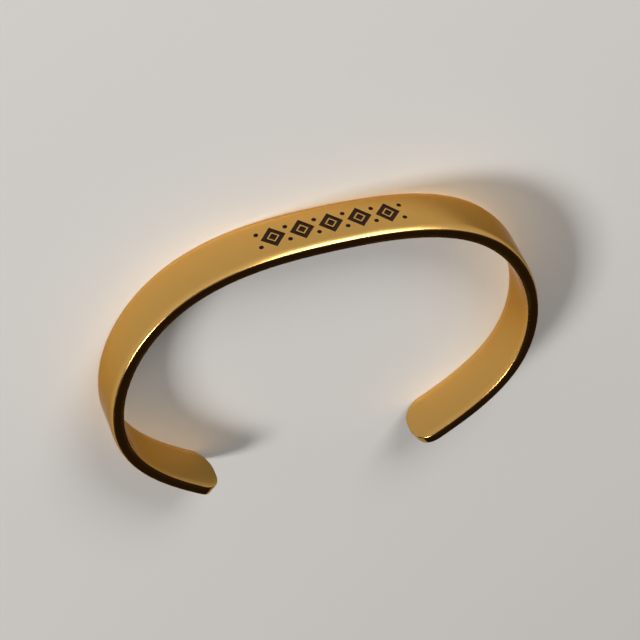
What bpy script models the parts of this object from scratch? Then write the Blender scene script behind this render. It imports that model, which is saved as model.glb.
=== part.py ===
# A kada: an open cuff bangle made of one flat gold strip with rounded ends, bent to an oval.
# It lies on its side. +Z runs across the strip, the strip's middle is at -Y and its open gap at +Y.
# The origin is under the middle of the oval, where the lower edge rests. Lengths are in metres.
import math
from collections import namedtuple

import bmesh
import bpy
from mathutils import Vector

# The flat strip, before it is bent
STRIP_LENGTH = 0.160         # from tip to tip, along the middle of the wall
STRIP_WIDTH = 0.008
WALL = 0.002
END_CORNER_RADIUS = 0.0035   # the corners of both ends, which leave a short flat at each tip
EDGE_ROUNDING = 0.00025      # every edge is softened by this much

# How finely the solid is faceted
COLUMN_SPACING = 0.0016      # along the strip
END_STEPS = 9                # round each end corner
EDGE_STEPS = 2               # round each softened edge
WALK_STEPS = 800             # small steps that follow the bend along one half of the strip

# The finish, as the Principled BSDF has it
GOLD_COLOUR = (0.83, 0.58, 0.24, 1.0)
GOLD_METALLIC = 1.0
GOLD_ROUGHNESS = 0.12

# How sharply one half of the strip is bent, from its middle to its tip.
# share is a place along the half strip. turn is the bend there: the degrees that a whole half
# strip would turn through if it were all bent as it is at that place. Nought is straight.
Bend = namedtuple("Bend", "share turn")
BENDS = [
    Bend(share=0.00, turn=31),    # nearly flat front
    Bend(share=0.15, turn=110),
    Bend(share=0.30, turn=216),   # shoulder
    Bend(share=0.45, turn=161),
    Bend(share=0.60, turn=165),   # side of the wrist
    Bend(share=0.75, turn=232),   # bend that brings the end in under the wrist
    Bend(share=1.00, turn=0),     # straight tip
]

Station = namedtuple("Station", "along point outward")


def clear_scene():
    for thing in list(bpy.data.objects):
        bpy.data.objects.remove(thing, do_unlink=True)


def gold():
    material = bpy.data.materials.new("polished_gold")
    material.use_nodes = True
    shader = material.node_tree.nodes["Principled BSDF"]
    shader.inputs["Base Color"].default_value = GOLD_COLOUR
    shader.inputs["Metallic"].default_value = GOLD_METALLIC
    shader.inputs["Roughness"].default_value = GOLD_ROUGHNESS
    material.diffuse_color = GOLD_COLOUR
    return material


def turn_at(share):
    # The bend changes evenly from one row of the table to the next.
    for near, far in zip(BENDS, BENDS[1:]):
        if share <= far.share:
            part = (share - near.share) / (far.share - near.share)
            return near.turn + part * (far.turn - near.turn)
    return BENDS[-1].turn


def walk_half_strip():
    # Follows the middle of the wall from the strip's middle, which faces -Y, to the +X tip.
    step = STRIP_LENGTH / 2 / WALK_STEPS
    heading = 0.0
    point = Vector((0.0, 0.0))
    stations = [Station(0.0, point.copy(), Vector((0.0, -1.0)))]
    for number in range(WALK_STEPS):
        turned = math.radians(turn_at((number + 0.5) / WALK_STEPS)) / WALK_STEPS
        middle = heading + turned / 2
        point += step * Vector((math.cos(middle), math.sin(middle)))
        heading += turned
        outward = Vector((math.sin(heading), -math.cos(heading)))
        stations.append(Station((number + 1) * step, point.copy(), outward))
    return stations


def strip_columns():
    # Each column is a place along the half strip and half the strip's width there.
    # The tip keeps a flat that is at least as wide as its two softened edges.
    tip_flat = max(STRIP_WIDTH - 2 * END_CORNER_RADIUS, 2 * EDGE_ROUNDING)
    corner = (STRIP_WIDTH - tip_flat) / 2
    straight = STRIP_LENGTH / 2 - corner
    count = math.ceil(straight / COLUMN_SPACING)
    columns = [(straight * number / count, STRIP_WIDTH / 2) for number in range(count + 1)]
    for number in range(1, END_STEPS + 1):
        angle = math.pi / 2 * number / END_STEPS
        place = straight + corner * math.sin(angle)
        columns.append((place, tip_flat / 2 + corner * math.cos(angle)))
    return columns


def place_on_path(stations, along):
    position = along / (STRIP_LENGTH / 2) * WALK_STEPS
    before = min(int(position), WALK_STEPS - 1)
    return stations[before].point.lerp(stations[before + 1].point, position - before)


def half_surface(stations):
    # An open sheet two vertices high, along the middle of the wall from the mirror plane to the tip.
    sheet = bmesh.new()
    previous = None
    for along, half_width in strip_columns():
        point = place_on_path(stations, along)
        column = [sheet.verts.new((point.x, point.y, side * half_width)) for side in (-1, 1)]
        if previous:
            sheet.faces.new((previous[0], column[0], column[1], previous[1]))
        previous = column
    return sheet


def resting_place(stations):
    # Moves the bent strip so that its lower edge is at Z 0 and its outline is centred on the origin.
    outer = [station.point.y + station.outward.y * WALL / 2 for station in stations]
    return Vector((0.0, -(min(outer) + max(outer)) / 2, STRIP_WIDTH / 2))


def make_band(collection):
    stations = walk_half_strip()
    mesh = bpy.data.meshes.new("cuff_band")
    sheet = half_surface(stations)
    sheet.to_mesh(mesh)
    sheet.free()
    mesh.materials.append(gold())
    mesh.shade_smooth()

    band = bpy.data.objects.new("cuff_band", mesh)
    band.location = resting_place(stations)
    collection.objects.link(band)

    mirror = band.modifiers.new("both halves", "MIRROR")
    mirror.use_axis = (True, False, False)
    mirror.use_mirror_merge = True
    mirror.merge_threshold = 0.00001

    wall = band.modifiers.new("wall", "SOLIDIFY")
    wall.thickness = WALL
    wall.offset = 0
    wall.use_even_offset = True

    softened = band.modifiers.new("softened edges", "BEVEL")
    softened.width = EDGE_ROUNDING
    softened.segments = EDGE_STEPS
    softened.limit_method = "ANGLE"
    softened.angle_limit = math.radians(40)
    softened.harden_normals = True
    return band


def main():
    clear_scene()
    kada = bpy.data.collections.new("kada")
    bpy.context.scene.collection.children.link(kada)
    make_band(kada)


main()
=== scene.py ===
# An open gold cuff bangle on a pale studio floor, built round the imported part.
import math

import bpy
from mathutils import Matrix, Vector


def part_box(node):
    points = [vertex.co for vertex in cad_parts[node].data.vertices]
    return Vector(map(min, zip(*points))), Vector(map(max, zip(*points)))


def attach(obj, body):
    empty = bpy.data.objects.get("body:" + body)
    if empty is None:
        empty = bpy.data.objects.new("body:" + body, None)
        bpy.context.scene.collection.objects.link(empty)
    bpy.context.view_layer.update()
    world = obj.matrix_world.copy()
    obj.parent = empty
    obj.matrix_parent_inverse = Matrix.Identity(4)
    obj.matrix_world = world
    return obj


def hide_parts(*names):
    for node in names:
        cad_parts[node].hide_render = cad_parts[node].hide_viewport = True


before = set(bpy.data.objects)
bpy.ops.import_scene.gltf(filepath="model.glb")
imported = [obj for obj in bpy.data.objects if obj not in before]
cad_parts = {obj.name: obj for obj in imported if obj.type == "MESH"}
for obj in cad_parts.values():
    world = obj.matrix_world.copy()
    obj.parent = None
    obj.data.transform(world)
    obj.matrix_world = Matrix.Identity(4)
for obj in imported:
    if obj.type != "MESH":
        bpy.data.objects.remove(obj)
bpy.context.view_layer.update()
bandLow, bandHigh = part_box("cuff_band")
print("frame loaded, band is", [round(1000 * side, 2) for side in bandHigh - bandLow], "mm")


# Small helpers for node trees. A value is a number, or another node's socket to link from.

def plug(tree, socket, value):
    if isinstance(value, bpy.types.NodeSocket):
        tree.links.new(value, socket)
    elif value is not None:
        socket.default_value = value


def addNode(tree, kind, settings=None, **values):
    node = tree.nodes.new(kind)
    for name, value in (settings or {}).items():
        setattr(node, name, value)
    for name, value in values.items():
        plug(tree, node.inputs[name.replace("_", " ")], value)
    return node


def calc(tree, operation, *parts):
    node = tree.nodes.new("ShaderNodeMath")
    node.operation = operation
    for number, part in enumerate(parts):
        plug(tree, node.inputs[number], part)
    return node.outputs[0]


def vectorCalc(tree, operation, *parts):
    node = tree.nodes.new("ShaderNodeVectorMath")
    node.operation = operation
    for number, part in enumerate(parts):
        isFactor = operation == "SCALE" and number == 1    # goes into a socket of its own
        plug(tree, node.inputs["Scale" if isFactor else number], part)
    return node.outputs[0]


def vectorOf(tree, x=0, y=0, z=0):
    return addNode(tree, "ShaderNodeCombineXYZ", X=x, Y=y, Z=z).outputs[0]


def partsOf(tree, vector):
    return addNode(tree, "ShaderNodeSeparateXYZ", Vector=vector).outputs


def pointPlace(tree):
    return tree.nodes.new("GeometryNodeInputPosition").outputs[0]


def placed(tree, geometry, **values):
    return addNode(tree, "GeometryNodeSetPosition", Geometry=geometry, **values).outputs[0]


def shifted(tree, geometry, offset):
    return addNode(tree, "GeometryNodeTransform", Geometry=geometry, Translation=offset).outputs[0]


def flipped(tree, mesh):
    return addNode(tree, "GeometryNodeFlipFaces", Mesh=mesh).outputs[0]


def halved(tree, value):
    return calc(tree, "MULTIPLY", value, 0.5)


def newTree(name, kind, inputs, outputs):
    tree = bpy.data.node_groups.new(name, kind)
    for socketName, socketType, default in inputs:
        socket = tree.interface.new_socket(name=socketName, in_out="INPUT", socket_type=socketType)
        if default is not None:
            socket.default_value = default
    for socketName, socketType in outputs:
        tree.interface.new_socket(name=socketName, in_out="OUTPUT", socket_type=socketType)
    given = tree.nodes.new("NodeGroupInput").outputs
    made = tree.nodes.new("NodeGroupOutput").inputs
    return tree, given, made


def geometryTree(name, inputs):
    return newTree(name, "GeometryNodeTree", inputs, [("Geometry", "NodeSocketGeometry")])


def useGroup(tree, group, **values):
    isGeometry = tree.bl_idname == "GeometryNodeTree"
    kind = "GeometryNodeGroup" if isGeometry else "ShaderNodeGroup"
    return addNode(tree, kind, {"node_tree": group}, **values).outputs


def joinAll(tree, *pieces):
    joined = tree.nodes.new("GeometryNodeJoinGeometry")
    for piece in pieces:
        tree.links.new(piece, joined.inputs[0])
    return joined.outputs[0]


real, whole, shape, arrow = "NodeSocketFloat", "NodeSocketInt", "NodeSocketGeometry", "NodeSocketVector"
mergeDistance = 0.000001    # metres, for points that belong together


# The strip, flat: +X along it, +Y across it and +Z out of the face that shows when it is worn.

strip = {
    "length": 0.160,
    "width": bandHigh.z - bandLow.z,
    "wall": 0.002,
    "endCorner": 0.0035,
    "edgeRounding": 0.00016,
    "crownWidth": 0.0012,    # the outer face falls away this near its long edges
    "crownFall": 0.00030,
    "halfColumns": 210,      # faces along half the strip, the end corner's among them
    "endColumns": 14,
    "rows": 21,
    "roundingSteps": 4,
    "sharpAngle": 40,        # edges sharper than this keep a crisp shade
    "bends": [               # share of the half strip, and the degrees that a half bent so would turn
        (0.00, 31), (0.15, 110), (0.30, 216), (0.45, 161), (0.60, 165), (0.75, 232), (1.00, 0),
    ],
    "bendSteps": 800,
}


def stripFaceGroup():
    # One face of the strip with round ends, drawn in from the outline by the edge's rounding.
    tree, given, made = geometryTree("stripFace", [
        ("Length", real, strip["length"]), ("Width", real, strip["width"]),
        ("End Corner", real, strip["endCorner"]), ("Drawn In", real, strip["edgeRounding"]),
        ("Half Columns", whole, strip["halfColumns"]), ("End Columns", whole, strip["endColumns"]),
        ("Rows", whole, strip["rows"]),
    ])
    columns = calc(tree, "MULTIPLY_ADD", given["Half Columns"], 2, 1)
    grid = addNode(tree, "GeometryNodeMeshGrid", Size_X=2, Size_Y=2, Vertices_X=columns,
                   Vertices_Y=given["Rows"]).outputs["Mesh"]
    x, y, _ = partsOf(tree, pointPlace(tree))
    share = calc(tree, "ABSOLUTE", x)
    endShare = calc(tree, "DIVIDE", given["End Columns"], given["Half Columns"])
    straightShare = calc(tree, "SUBTRACT", 1, endShare)
    straightPart = calc(tree, "MINIMUM", calc(tree, "DIVIDE", share, straightShare), 1)
    pastStraight = calc(tree, "MAXIMUM", calc(tree, "SUBTRACT", share, straightShare), 0)
    angle = calc(tree, "MULTIPLY", calc(tree, "DIVIDE", pastStraight, endShare), math.pi / 2)
    corner = calc(tree, "SUBTRACT", given["End Corner"], given["Drawn In"])
    straight = calc(tree, "SUBTRACT", halved(tree, given["Length"]), given["End Corner"])
    along = calc(tree, "MULTIPLY_ADD", corner, calc(tree, "SINE", angle),
                 calc(tree, "MULTIPLY", straight, straightPart))
    tipHalf = calc(tree, "SUBTRACT", halved(tree, given["Width"]), given["End Corner"])
    half = calc(tree, "MULTIPLY_ADD", corner, calc(tree, "COSINE", angle), tipHalf)
    rowShare = calc(tree, "SINE", calc(tree, "MULTIPLY", y, math.pi / 2))    # finer near the edges
    signed = calc(tree, "MULTIPLY", along, calc(tree, "SIGN", x))
    moved = vectorOf(tree, signed, calc(tree, "MULTIPLY", half, rowShare))
    tree.links.new(placed(tree, grid, Position=moved), made["Geometry"])
    return tree


def rimProfileGroup():
    # The rim's section, from the outer face round a softened edge, down the wall and round the next.
    tree, given, made = geometryTree("rimProfile", [
        ("Wall", real, strip["wall"]), ("Edge Rounding", real, strip["edgeRounding"]),
        ("Rounding Steps", whole, strip["roundingSteps"]),
    ])
    steps, rounding = given["Rounding Steps"], given["Edge Rounding"]
    line = addNode(tree, "GeometryNodeMeshLine", Count=calc(tree, "MULTIPLY_ADD", steps, 2, 2)).outputs[0]
    index = tree.nodes.new("GeometryNodeInputIndex").outputs[0]
    lower = calc(tree, "GREATER_THAN", index, calc(tree, "ADD", steps, 0.5))    # past the outer edge
    quarter = calc(tree, "DIVIDE", calc(tree, "SUBTRACT", index, lower), steps)
    angle = calc(tree, "MULTIPLY", quarter, math.pi / 2)
    flat = calc(tree, "SUBTRACT", given["Wall"], calc(tree, "MULTIPLY", rounding, 2))
    down = calc(tree, "MULTIPLY_ADD", rounding, calc(tree, "SUBTRACT", 1, calc(tree, "COSINE", angle)),
                calc(tree, "MULTIPLY", lower, flat))
    out = calc(tree, "MULTIPLY", rounding, calc(tree, "MULTIPLY", calc(tree, "SINE", angle), -1))
    moved = placed(tree, line, Position=vectorOf(tree, out, down))
    tree.links.new(addNode(tree, "GeometryNodeMeshToCurve", Mesh=moved).outputs[0], made["Geometry"])
    return tree


def stripBlankGroup():
    # The whole flat strip as one closed solid: two faces and the rim swept round their outline.
    tree, given, made = geometryTree("stripBlank", [
        ("Length", real, strip["length"]), ("Width", real, strip["width"]),
        ("Wall", real, strip["wall"]), ("End Corner", real, strip["endCorner"]),
        ("Edge Rounding", real, strip["edgeRounding"]), ("Half Columns", whole, strip["halfColumns"]),
        ("End Columns", whole, strip["endColumns"]), ("Rows", whole, strip["rows"]),
        ("Rounding Steps", whole, strip["roundingSteps"]), ("Crown Width", real, strip["crownWidth"]),
        ("Crown Fall", real, strip["crownFall"]),
    ])
    face = useGroup(tree, stripFaceGroup(), Length=given["Length"], Width=given["Width"],
                    End_Corner=given["End Corner"], Drawn_In=given["Edge Rounding"],
                    Half_Columns=given["Half Columns"], End_Columns=given["End Columns"],
                    Rows=given["Rows"])[0]
    halfWall = halved(tree, given["Wall"])
    upper = shifted(tree, face, vectorOf(tree, z=halfWall))
    lower = flipped(tree, shifted(tree, face, vectorOf(tree, z=calc(tree, "MULTIPLY", halfWall, -1))))
    faceCount = tree.nodes.new("GeometryNodeInputMeshEdgeNeighbors").outputs[0]
    onOutline = calc(tree, "LESS_THAN", faceCount, 1.5)    # an outer edge has one face, an inner one two
    outline = addNode(tree, "GeometryNodeMeshToCurve", Mesh=upper, Selection=onOutline).outputs[0]
    outline = addNode(tree, "GeometryNodeSetCurveNormal", {"mode": "Z_UP"}, Curve=outline).outputs[0]
    profile = useGroup(tree, rimProfileGroup(), Wall=given["Wall"], Edge_Rounding=given["Edge Rounding"],
                       Rounding_Steps=given["Rounding Steps"])[0]
    rim = addNode(tree, "GeometryNodeCurveToMesh", Curve=outline, Profile_Curve=profile).outputs[0]
    rim = flipped(tree, rim)
    closed = addNode(tree, "GeometryNodeMergeByDistance", Geometry=joinAll(tree, upper, lower, rim),
                     Distance=mergeDistance).outputs[0]
    # The outer face falls away towards its long edges, more the nearer the edge.
    _, y, z = partsOf(tree, pointPlace(tree))
    crowned = calc(tree, "SUBTRACT", halved(tree, given["Width"]), given["Crown Width"])
    pastFlat = calc(tree, "MAXIMUM", calc(tree, "SUBTRACT", calc(tree, "ABSOLUTE", y), crowned), 0)
    crownShare = calc(tree, "DIVIDE", pastFlat, given["Crown Width"])
    fallen = calc(tree, "MULTIPLY", calc(tree, "POWER", crownShare, 2), given["Crown Fall"])
    outerShare = calc(tree, "MAXIMUM", calc(tree, "DIVIDE", z, halfWall), 0)
    dropped = vectorOf(tree, z=calc(tree, "MULTIPLY", calc(tree, "MULTIPLY", fallen, outerShare), -1))
    tree.links.new(placed(tree, closed, Offset=dropped), made["Geometry"])
    return tree


def bentPathGroup(bends):
    # The middle of the wall from one tip to the other, turned step by step as the bends say.
    tree, given, made = geometryTree("bentPath", [
        ("Length", real, strip["length"]), ("Steps", whole, strip["bendSteps"]),
        ("Middle", arrow, None),
    ])
    steps = given["Steps"]
    line = addNode(tree, "GeometryNodeMeshLine", Count=calc(tree, "MULTIPLY_ADD", steps, 2, 1)).outputs[0]
    index = tree.nodes.new("GeometryNodeInputIndex").outputs[0]
    fromMiddle = calc(tree, "ABSOLUTE", calc(tree, "SUBTRACT", calc(tree, "ADD", index, 0.5), steps))
    share = calc(tree, "DIVIDE", fromMiddle, steps)
    sharpest = max(turn for _, turn in bends)
    table = tree.nodes.new("ShaderNodeFloatCurve")
    curve = table.mapping.curves[0]
    while len(curve.points) < len(bends):
        curve.points.new(0.5, 0.5)    # moved to its place below
    for point, (bendShare, turn) in zip(curve.points, bends):
        point.location = (bendShare, turn / sharpest)
        point.handle_type = "VECTOR"
    table.mapping.update()
    plug(tree, table.inputs["Value"], share)
    halfTurn = calc(tree, "MULTIPLY", table.outputs[0], math.radians(sharpest))
    turned = calc(tree, "DIVIDE", halfTurn, steps)
    summed = addNode(tree, "GeometryNodeAccumulateField", {"data_type": "FLOAT"}, Value=turned)
    start = summed.outputs["Trailing"]
    atMiddle = addNode(tree, "GeometryNodeFieldAtIndex", {"data_type": "FLOAT"}, Value=start,
                       Index=steps).outputs[0]
    heading = calc(tree, "SUBTRACT", calc(tree, "MULTIPLY_ADD", turned, 0.5, start), atMiddle)
    stepLength = calc(tree, "DIVIDE", halved(tree, given["Length"]), steps)
    stride = vectorCalc(tree, "SCALE", vectorOf(tree, calc(tree, "COSINE", heading),
                                                calc(tree, "SINE", heading)), stepLength)
    walked = addNode(tree, "GeometryNodeAccumulateField", {"data_type": "FLOAT_VECTOR"}, Value=stride)
    reached = walked.outputs["Trailing"]
    middle = addNode(tree, "GeometryNodeFieldAtIndex", {"data_type": "FLOAT_VECTOR"}, Value=reached,
                     Index=steps).outputs[0]
    moved = vectorCalc(tree, "ADD", vectorCalc(tree, "SUBTRACT", reached, middle), given["Middle"])
    bent = placed(tree, line, Position=moved)
    tree.links.new(addNode(tree, "GeometryNodeMeshToCurve", Mesh=bent).outputs[0], made["Geometry"])
    return tree


def wrapOnPathGroup():
    # Bends flat geometry onto the path. Where each point was when flat is kept for the materials.
    tree, given, made = geometryTree("wrapOnPath", [
        ("Geometry", shape, None), ("Path", shape, None), ("Length", real, strip["length"]),
    ])
    kept = addNode(tree, "GeometryNodeStoreNamedAttribute", {"data_type": "FLOAT_VECTOR"},
                   Geometry=given["Geometry"], Name="stripPlace", Value=pointPlace(tree)).outputs[0]
    along, across, off = partsOf(tree, pointPlace(tree))
    factor = calc(tree, "ADD", calc(tree, "DIVIDE", along, given["Length"]), 0.5)
    sample = addNode(tree, "GeometryNodeSampleCurve", {"mode": "FACTOR", "use_all_curves": True},
                     Curves=given["Path"], Factor=factor)
    tangentX, tangentY, _ = partsOf(tree, sample.outputs["Tangent"])
    outward = vectorOf(tree, tangentY, calc(tree, "MULTIPLY", tangentX, -1))
    moved = vectorCalc(tree, "ADD", sample.outputs["Position"], vectorCalc(tree, "SCALE", outward, off))
    moved = vectorCalc(tree, "ADD", moved, vectorOf(tree, z=across))
    tree.links.new(placed(tree, kept, Position=moved), made["Geometry"])
    return tree


# The engraving: a plain row of lozenges and dots at the strip's middle, cut into the outer face.

engraving = {
    "length": 0.0222,
    "height": 0.0040,
    "count": 5,
    "lozengeShare": 0.86,    # a lozenge's width as a share of its pitch
    "lineWidth": 0.00068,
    "heartShare": 0.36,      # the small solid lozenge inside, as a share of the outer one
    "dotRadius": 0.00036,
    "dotHeight": 0.0013,
    "dotSides": 24,
    "depth": 0.00018,
    "recessFrom": 0.25,      # shares of the depth between which a face is a recess's wall or floor
    "recessTo": 1.25,
    "recessReach": 0.6,      # and how far from the strip's middle line, as a share of the height
}


def lozengeCurve(tree, width, height):
    half = halved(tree, height)
    return addNode(tree, "GeometryNodeCurvePrimitiveQuadrilateral", {"mode": "KITE"}, Width=width,
                   Bottom_Height=half, Top_Height=half).outputs[0]


def rowOf(tree, instance, count, pitch):
    reach = halved(tree, calc(tree, "MULTIPLY", calc(tree, "SUBTRACT", count, 1), pitch))
    first = calc(tree, "MULTIPLY", reach, -1)
    points = addNode(tree, "GeometryNodeMeshLine", Count=count, Start_Location=vectorOf(tree, first),
                     Offset=vectorOf(tree, pitch)).outputs[0]
    return addNode(tree, "GeometryNodeInstanceOnPoints", Points=points, Instance=instance).outputs[0]


def ornamentRowGroup():
    # Closed cutters for the whole row, standing in the outer face of the flat strip.
    tree, given, made = geometryTree("ornamentRow", [
        ("Length", real, engraving["length"]), ("Height", real, engraving["height"]),
        ("Count", whole, engraving["count"]), ("Lozenge Share", real, engraving["lozengeShare"]),
        ("Line Width", real, engraving["lineWidth"]), ("Heart Share", real, engraving["heartShare"]),
        ("Dot Radius", real, engraving["dotRadius"]), ("Dot Height", real, engraving["dotHeight"]),
        ("Depth", real, engraving["depth"]), ("Wall", real, strip["wall"]),
    ])
    pitch = calc(tree, "DIVIDE", given["Length"], given["Count"])
    width = calc(tree, "MULTIPLY", pitch, given["Lozenge Share"])
    height = given["Height"]
    # A line of even width round a lozenge takes more off each diagonal than off its sides.
    diagonal = calc(tree, "SQRT", calc(tree, "ADD", calc(tree, "MULTIPLY", width, width),
                                       calc(tree, "MULTIPLY", height, height)))
    inset = calc(tree, "DIVIDE", calc(tree, "MULTIPLY", given["Line Width"], diagonal),
                 calc(tree, "MULTIPLY", width, height))
    inner = calc(tree, "SUBTRACT", 1, calc(tree, "MULTIPLY", inset, 2))
    outlines = [
        lozengeCurve(tree, calc(tree, "MULTIPLY", width, part), calc(tree, "MULTIPLY", height, part))
        for part in (1, inner, given["Heart Share"])
    ]
    motif = addNode(tree, "GeometryNodeFillCurve", {"mode": "NGONS"},
                    Curve=joinAll(tree, *outlines)).outputs[0]
    dot = addNode(tree, "GeometryNodeCurvePrimitiveCircle", Resolution=engraving["dotSides"],
                  Radius=given["Dot Radius"]).outputs[0]
    dots = [
        shifted(tree, dot, vectorOf(tree, y=calc(tree, "MULTIPLY", given["Dot Height"], side)))
        for side in (-1, 1)
    ]
    pair = addNode(tree, "GeometryNodeFillCurve", {"mode": "NGONS"},
                   Curve=joinAll(tree, *dots)).outputs[0]
    row = joinAll(tree, rowOf(tree, motif, given["Count"], pitch),
                  rowOf(tree, pair, calc(tree, "ADD", given["Count"], 1), pitch))
    row = addNode(tree, "GeometryNodeRealizeInstances", Geometry=row).outputs[0]
    recessFloor = calc(tree, "SUBTRACT", halved(tree, given["Wall"]), given["Depth"])
    row = shifted(tree, row, vectorOf(tree, z=recessFloor))
    # Each cutter stands as far out of the face as it goes in.
    cutterHeight = calc(tree, "MULTIPLY", given["Depth"], 2)
    raised = addNode(tree, "GeometryNodeExtrudeMesh", {"mode": "FACES"}, Mesh=row, Individual=False,
                     Offset=(0, 0, 1), Offset_Scale=cutterHeight).outputs["Mesh"]
    closed = addNode(tree, "GeometryNodeMergeByDistance", Distance=mergeDistance,
                     Geometry=joinAll(tree, raised, flipped(tree, row))).outputs[0]
    tree.links.new(closed, made["Geometry"])
    return tree


def cuffTree(goldMaterial, engravedMaterial):
    tree, given, made = geometryTree("goldCuff", [
        ("Geometry", shape, None), ("Strip Length", real, strip["length"]),
        ("Strip Width", real, strip["width"]), ("Wall", real, strip["wall"]),
        ("End Corner", real, strip["endCorner"]), ("Edge Rounding", real, strip["edgeRounding"]),
        ("Engraving Length", real, engraving["length"]), ("Engraving Height", real, engraving["height"]),
        ("Engraving Count", whole, engraving["count"]), ("Engraving Depth", real, engraving["depth"]),
        ("Gold", "NodeSocketMaterial", goldMaterial),
        ("Engraved", "NodeSocketMaterial", engravedMaterial),
    ])
    blank = useGroup(tree, stripBlankGroup(), Length=given["Strip Length"], Width=given["Strip Width"],
                     Wall=given["Wall"], End_Corner=given["End Corner"],
                     Edge_Rounding=given["Edge Rounding"], Half_Columns=strip["halfColumns"],
                     End_Columns=strip["endColumns"], Rows=strip["rows"],
                     Rounding_Steps=strip["roundingSteps"], Crown_Width=strip["crownWidth"],
                     Crown_Fall=strip["crownFall"])[0]
    cutters = useGroup(tree, ornamentRowGroup(), Length=given["Engraving Length"],
                       Height=given["Engraving Height"], Count=given["Engraving Count"],
                       Lozenge_Share=engraving["lozengeShare"], Line_Width=engraving["lineWidth"],
                       Heart_Share=engraving["heartShare"], Dot_Radius=engraving["dotRadius"],
                       Dot_Height=engraving["dotHeight"], Depth=given["Engraving Depth"],
                       Wall=given["Wall"])[0]
    cut = addNode(tree, "GeometryNodeMeshBoolean", {"operation": "DIFFERENCE", "solver": "EXACT"})
    plug(tree, cut.inputs["Mesh 1"], blank)
    plug(tree, cut.inputs["Mesh 2"], cutters)
    middle = (0, bandLow.y + strip["wall"] / 2, (bandLow.z + bandHigh.z) / 2)
    path = useGroup(tree, bentPathGroup(strip["bends"]), Length=given["Strip Length"],
                    Steps=strip["bendSteps"], Middle=middle)[0]
    bent = useGroup(tree, wrapOnPathGroup(), Geometry=cut.outputs[0], Path=path,
                    Length=given["Strip Length"])[0]
    smooth = addNode(tree, "GeometryNodeSetShadeSmooth", Geometry=bent).outputs[0]
    edgeAngle = tree.nodes.new("GeometryNodeInputMeshEdgeAngle").outputs["Unsigned Angle"]
    sharp = calc(tree, "GREATER_THAN", edgeAngle, math.radians(strip["sharpAngle"]))
    crisp = addNode(tree, "GeometryNodeSetShadeSmooth", {"domain": "EDGE"}, Geometry=smooth,
                    Selection=sharp, Shade_Smooth=False)
    solid = addNode(tree, "GeometryNodeRealizeInstances", Geometry=crisp.outputs[0]).outputs[0]
    gilded = addNode(tree, "GeometryNodeSetMaterial", Geometry=solid, Material=given["Gold"]).outputs[0]
    # The recesses are what lies a little under the outer face and away from the fallen edges.
    flatPlace = addNode(tree, "GeometryNodeInputNamedAttribute", {"data_type": "FLOAT_VECTOR"},
                        Name="stripPlace").outputs["Attribute"]
    _, across, off = partsOf(tree, flatPlace)
    under = calc(tree, "DIVIDE", calc(tree, "SUBTRACT", halved(tree, given["Wall"]), off),
                 given["Engraving Depth"])
    deepEnough = calc(tree, "GREATER_THAN", under, engraving["recessFrom"])
    notTooDeep = calc(tree, "LESS_THAN", under, engraving["recessTo"])
    inside = calc(tree, "LESS_THAN", calc(tree, "ABSOLUTE", across),
                  calc(tree, "MULTIPLY", given["Engraving Height"], engraving["recessReach"]))
    recess = calc(tree, "MULTIPLY", calc(tree, "MULTIPLY", deepEnough, notTooDeep), inside)
    painted = addNode(tree, "GeometryNodeSetMaterial", Geometry=gilded, Selection=recess,
                      Material=given["Engraved"]).outputs[0]
    tree.links.new(painted, made["Geometry"])
    return tree


def makeCuff(goldMaterial, engravedMaterial):
    worked = bpy.data.objects.new("cuffWork", bpy.data.meshes.new("cuffWork"))
    bpy.context.scene.collection.objects.link(worked)
    nodes = worked.modifiers.new("goldCuff", "NODES")
    nodes.node_group = cuffTree(goldMaterial, engravedMaterial)
    flats = worked.modifiers.new("flatFaces", "WEIGHTED_NORMAL")
    flats.keep_sharp = True
    graph = bpy.context.evaluated_depsgraph_get()
    mesh = bpy.data.meshes.new_from_object(worked.evaluated_get(graph), preserve_all_data_layers=True,
                                           depsgraph=graph)
    bpy.data.objects.remove(worked)
    mesh.materials.pop(index=0)    # the empty slot that the nodes start with
    mesh.name = "goldCuff"
    cuff = bpy.data.objects.new("goldCuff", mesh)
    bpy.context.scene.collection.objects.link(cuff)
    return cuff


# Finishes

gold = {
    "colour": (0.64, 0.385, 0.108, 1),
    "wornColour": (0.74, 0.44, 0.13, 1),     # where the softened edges are rubbed
    "glancingTint": (0.72, 0.58, 0.42, 1),   # what gold keeps of the light at a glancing angle
    "roughness": 0.07,
    "smudgeRoughness": 0.07,                 # added where fingers have been
    "scratchRoughness": 0.10,
    "edgeRoughness": 0.15,
    "edgeFrom": 0.0027,                      # from the strip's middle line, where the rubbed edges start
    "edgeTo": 0.0036,
    "faceFrom": 0.00032,                     # and from the middle of the wall
    "faceTo": 0.0006,
    "scratchHeight": 0.0000012,
    "scratchLength": 0.009,
    "scratchGap": 0.00016,
    "smudgeSize": 0.007,
    "waveHeight": 0.000016,
    "waveSize": 0.012,
    "dustColour": (0.55, 0.50, 0.42, 1),
    "dustRoughness": 0.6,
    "dustSpacing": 0.0022,
    "dustShare": 0.22,                       # of the places where a speck may lie
}

engraved = {
    "colour": (0.018, 0.0072, 0.004, 1),
    "grainColour": (0.040, 0.018, 0.010, 1),
    "roughness": 0.55,
    "grainSize": 0.00012,
    "grainRange": (0.40, 0.75),
    "reflection": 0.1,
    "dustSpacing": 0.0009,                   # more dust stays in the recesses
    "dustShare": 0.30,
}


def mapped(tree, value, low, high):
    # 0 below low and 1 above high, with a soft change between.
    return addNode(tree, "ShaderNodeMapRange", {"interpolation_type": "SMOOTHSTEP"}, Value=value,
                   From_Min=low, From_Max=high).outputs[0]


def noiseOf(tree, vector, size, detail):
    return addNode(tree, "ShaderNodeTexNoise", Vector=vector, Scale=1 / size, Detail=detail).outputs[0]


def stripPlaceOf(tree):
    return addNode(tree, "ShaderNodeAttribute", {"attribute_name": "stripPlace"}).outputs["Vector"]


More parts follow.
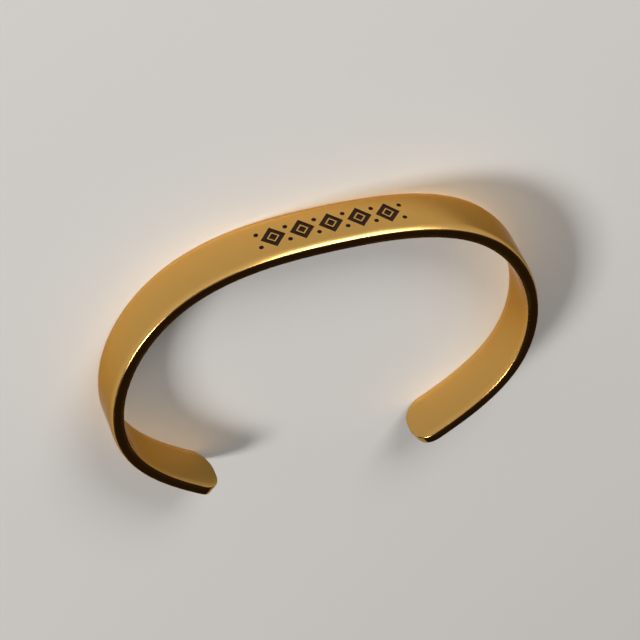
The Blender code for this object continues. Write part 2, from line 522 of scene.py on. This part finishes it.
wearMarks = {
    "scratchLayers": [(2, 0.0), (-7, 0.31), (24, 0.77)],    # degrees off the strip's length, and a shift
    "scratchRange": (0.66, 0.78),                           # the part of the noise that shows
    "smudgeRange": (0.42, 0.68),
    "speckSize": 0.012,                                     # as a share of the dust spacing
    "speckSpread": 0.022,
}


def wearGroup():
    # Masks for the wear of a polished strip, worked out from where each point was when it was flat.
    tree, given, made = newTree("stripWear", "ShaderNodeTree", [
        ("Place", arrow, None), ("Scratch Length", real, gold["scratchLength"]),
        ("Scratch Gap", real, gold["scratchGap"]), ("Smudge Size", real, gold["smudgeSize"]),
        ("Dust Spacing", real, gold["dustSpacing"]), ("Dust Share", real, gold["dustShare"]),
    ], [("Scratches", real), ("Smudges", real), ("Dust", real)])
    layers = []
    for turn, shift in wearMarks["scratchLayers"]:
        turned = addNode(tree, "ShaderNodeVectorRotate", {"rotation_type": "Z_AXIS"},
                         Vector=given["Place"], Angle=math.radians(turn)).outputs[0]
        x, y, z = partsOf(tree, turned)
        stretched = vectorOf(tree, calc(tree, "DIVIDE", x, given["Scratch Length"]),
                             calc(tree, "DIVIDE", y, given["Scratch Gap"]),
                             calc(tree, "ADD", calc(tree, "DIVIDE", z, given["Scratch Gap"]), shift))
        layers.append(mapped(tree, noiseOf(tree, stretched, 1, detail=1), *wearMarks["scratchRange"]))
    scratches = layers[0]
    for layer in layers[1:]:
        scratches = calc(tree, "MAXIMUM", scratches, layer)
    tree.links.new(scratches, made["Scratches"])
    smudgeCount = calc(tree, "DIVIDE", 1, given["Smudge Size"])
    smudgePlace = vectorCalc(tree, "SCALE", given["Place"], smudgeCount)
    smudges = mapped(tree, noiseOf(tree, smudgePlace, 1, detail=3), *wearMarks["smudgeRange"])
    tree.links.new(smudges, made["Smudges"])
    cells = addNode(tree, "ShaderNodeTexVoronoi", Vector=given["Place"],
                    Scale=calc(tree, "DIVIDE", 1, given["Dust Spacing"]))
    chance, size, _ = partsOf(tree, cells.outputs["Color"])
    chosen = calc(tree, "LESS_THAN", chance, given["Dust Share"])
    edge = calc(tree, "MULTIPLY_ADD", size, wearMarks["speckSpread"], wearMarks["speckSize"])
    within = calc(tree, "SUBTRACT", edge, cells.outputs["Distance"])
    speck = mapped(tree, within, 0, wearMarks["speckSize"])
    tree.links.new(calc(tree, "MULTIPLY", speck, chosen), made["Dust"])
    return tree


def materialOf(name):
    material = bpy.data.materials.new(name)
    material.use_nodes = True
    return material, material.node_tree, material.node_tree.nodes["Principled BSDF"]


def mixed(tree, factor, first, second):
    # A Mix node keeps its sockets for colours behind those for numbers and vectors.
    node = addNode(tree, "ShaderNodeMix", {"data_type": "RGBA"})
    plug(tree, node.inputs[0], factor)
    plug(tree, node.inputs[6], first)
    plug(tree, node.inputs[7], second)
    return node.outputs[2]


def goldFinish(wear):
    material, tree, shader = materialOf("polishedGold")
    flatPlace = stripPlaceOf(tree)
    masks = useGroup(tree, wear, Place=flatPlace, Scratch_Length=gold["scratchLength"],
                     Scratch_Gap=gold["scratchGap"], Smudge_Size=gold["smudgeSize"],
                     Dust_Spacing=gold["dustSpacing"], Dust_Share=gold["dustShare"])
    _, across, off = partsOf(tree, flatPlace)
    nearRim = mapped(tree, calc(tree, "ABSOLUTE", across), gold["edgeFrom"], gold["edgeTo"])
    nearFace = mapped(tree, calc(tree, "ABSOLUTE", off), gold["faceFrom"], gold["faceTo"])
    worn = calc(tree, "MULTIPLY", nearRim, nearFace)
    colour = mixed(tree, worn, gold["colour"], gold["wornColour"])
    colour = mixed(tree, masks["Dust"], colour, gold["dustColour"])
    plug(tree, shader.inputs["Base Color"], colour)
    shader.inputs["Specular Tint"].default_value = gold["glancingTint"]
    plug(tree, shader.inputs["Metallic"], calc(tree, "SUBTRACT", 1, masks["Dust"]))
    rough = calc(tree, "MULTIPLY_ADD", masks["Smudges"], gold["smudgeRoughness"], gold["roughness"])
    rough = calc(tree, "MULTIPLY_ADD", masks["Scratches"], gold["scratchRoughness"], rough)
    rough = calc(tree, "MULTIPLY_ADD", worn, gold["edgeRoughness"], rough)
    rough = calc(tree, "MULTIPLY_ADD", masks["Dust"], gold["dustRoughness"], rough)
    plug(tree, shader.inputs["Roughness"], rough)
    wave = calc(tree, "MULTIPLY", noiseOf(tree, flatPlace, gold["waveSize"], detail=1),
                gold["waveHeight"])
    height = calc(tree, "MULTIPLY_ADD", masks["Scratches"], -gold["scratchHeight"], wave)
    bump = addNode(tree, "ShaderNodeBump", Height=height, Distance=1, Strength=1)    # heights in metres
    plug(tree, shader.inputs["Normal"], bump.outputs[0])
    return material


def engravedFinish(wear):
    material, tree, shader = materialOf("engravedBrown")
    flatPlace = stripPlaceOf(tree)
    masks = useGroup(tree, wear, Place=flatPlace, Dust_Spacing=engraved["dustSpacing"],
                     Dust_Share=engraved["dustShare"])
    grain = mapped(tree, noiseOf(tree, flatPlace, engraved["grainSize"], detail=3),
                   *engraved["grainRange"])
    colour = mixed(tree, grain, engraved["colour"], engraved["grainColour"])
    plug(tree, shader.inputs["Base Color"], mixed(tree, masks["Dust"], colour, gold["dustColour"]))
    shader.inputs["Roughness"].default_value = engraved["roughness"]
    shader.inputs["Specular IOR Level"].default_value = engraved["reflection"]
    return material


wear = wearGroup()
cuff = makeCuff(goldFinish(wear), engravedFinish(wear))
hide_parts("cuff_band")
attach(cuff, "root")
print("cuff made:", len(cuff.data.vertices), "vertices,", len(cuff.data.polygons), "faces")


# Studio

studio = {
    "floorSize": 3.0,
    "floorColour": (0.78, 0.76, 0.73, 1),
    "floorRoughness": 0.9,
    "floorReflection": 0.2,
    "frontGlow": (0.20, 0.196, 0.192, 1),     # the studio's pale side, behind the camera
    "horizonGlow": (0.80, 0.79, 0.77, 1),     # the same side low down, brighter
    "farDark": (0.021, 0.0145, 0.012, 1),     # its dark side, which the upper edge reflects
    "facingRange": (-0.1, 0.4),               # how far towards -Y a direction points, dark to pale
    "lowRange": (-0.45, -0.2),                # the downward part of a direction, high glow to horizon
}

softboxes = {
    "keyLight": {
        "azimuth": 94, "elevation": 34, "distance": 1.6, "size": (0.42, 0.42), "power": 18.5,
        "outline": "RECTANGLE", "onFloor": True,
    },
    "frontLight": {
        "azimuth": -14, "elevation": 27, "distance": 0.9, "size": (0.56, 0.34), "power": 4.0,
        "outline": "ELLIPSE", "onFloor": True,
    },
    "lowStrip": {                             # only for the bright line along the upper edge
        "azimuth": -18, "elevation": 9, "distance": 0.16, "size": (0.12, 0.052), "power": 0.14,
        "outline": "ELLIPSE", "onFloor": False,
    },
}


def makeFloor():
    half = studio["floorSize"] / 2
    mesh = bpy.data.meshes.new("floor")
    corners = [(-half, -half, 0), (half, -half, 0), (half, half, 0), (-half, half, 0)]
    mesh.from_pydata(corners, [], [(0, 1, 2, 3)])
    material, _, shader = materialOf("paleFloor")
    shader.inputs["Base Color"].default_value = studio["floorColour"]
    shader.inputs["Roughness"].default_value = studio["floorRoughness"]
    shader.inputs["Specular IOR Level"].default_value = studio["floorReflection"]
    mesh.materials.append(material)
    floor = bpy.data.objects.new("floor", mesh)
    bpy.context.scene.collection.objects.link(floor)


def directionOf(azimuth, elevation):
    # Azimuth 0 is at -Y and 90 at +X, in degrees.
    turn, lift = math.radians(azimuth), math.radians(elevation)
    return Vector((math.sin(turn) * math.cos(lift), -math.cos(turn) * math.cos(lift), math.sin(lift)))


def addSoftbox(name, box):
    light = bpy.data.lights.new(name, "AREA")
    light.shape = box["outline"]
    light.size, light.size_y = box["size"]
    light.energy = box["power"]
    lamp = bpy.data.objects.new(name, light)
    away = directionOf(box["azimuth"], box["elevation"])
    lamp.location = away * box["distance"]
    lamp.rotation_euler = away.to_track_quat("Z", "Y").to_euler()
    lamp.visible_diffuse = box["onFloor"]
    bpy.context.scene.collection.objects.link(lamp)


def makeWorld():
    world = bpy.data.worlds.new("studio")
    world.use_nodes = True
    tree = world.node_tree
    direction = partsOf(tree, tree.nodes.new("ShaderNodeTexCoord").outputs["Generated"])
    facing = mapped(tree, calc(tree, "MULTIPLY", direction["Y"], -1), *studio["facingRange"])
    lowness = mapped(tree, calc(tree, "MULTIPLY", direction["Z"], -1), *studio["lowRange"])
    pale = mixed(tree, lowness, studio["frontGlow"], studio["horizonGlow"])
    glow = mixed(tree, facing, studio["farDark"], pale)
    plug(tree, tree.nodes["Background"].inputs["Color"], glow)
    bpy.context.scene.world = world


photoCamera = {
    "azimuth": 20.0, "elevation": 39.25, "roll": 154.6, "distance": 0.4864, "lens": 180,
    "sensor": 36, "nearest": 0.01, "lookAt": (0.00051, -0.00557, 0.004),
}


def makeCamera():
    data = bpy.data.cameras.new("camera")
    data.lens = photoCamera["lens"]
    data.sensor_width = photoCamera["sensor"]
    data.clip_start = photoCamera["nearest"]
    camera = bpy.data.objects.new("camera", data)
    back = directionOf(photoCamera["azimuth"], photoCamera["elevation"])
    camera.location = Vector(photoCamera["lookAt"]) + back * photoCamera["distance"]
    upright = back.to_track_quat("Z", "Y").to_matrix()
    rolled = upright @ Matrix.Rotation(math.radians(photoCamera["roll"]), 3, "Z")
    camera.rotation_euler = rolled.to_euler()
    bpy.context.scene.collection.objects.link(camera)
    bpy.context.scene.camera = camera


makeFloor()
makeWorld()
for name, box in softboxes.items():
    addSoftbox(name, box)
print("studio made:", len(softboxes), "lights")

makeCamera()
bpy.context.scene.view_settings.view_transform = "Standard"
print("camera placed")
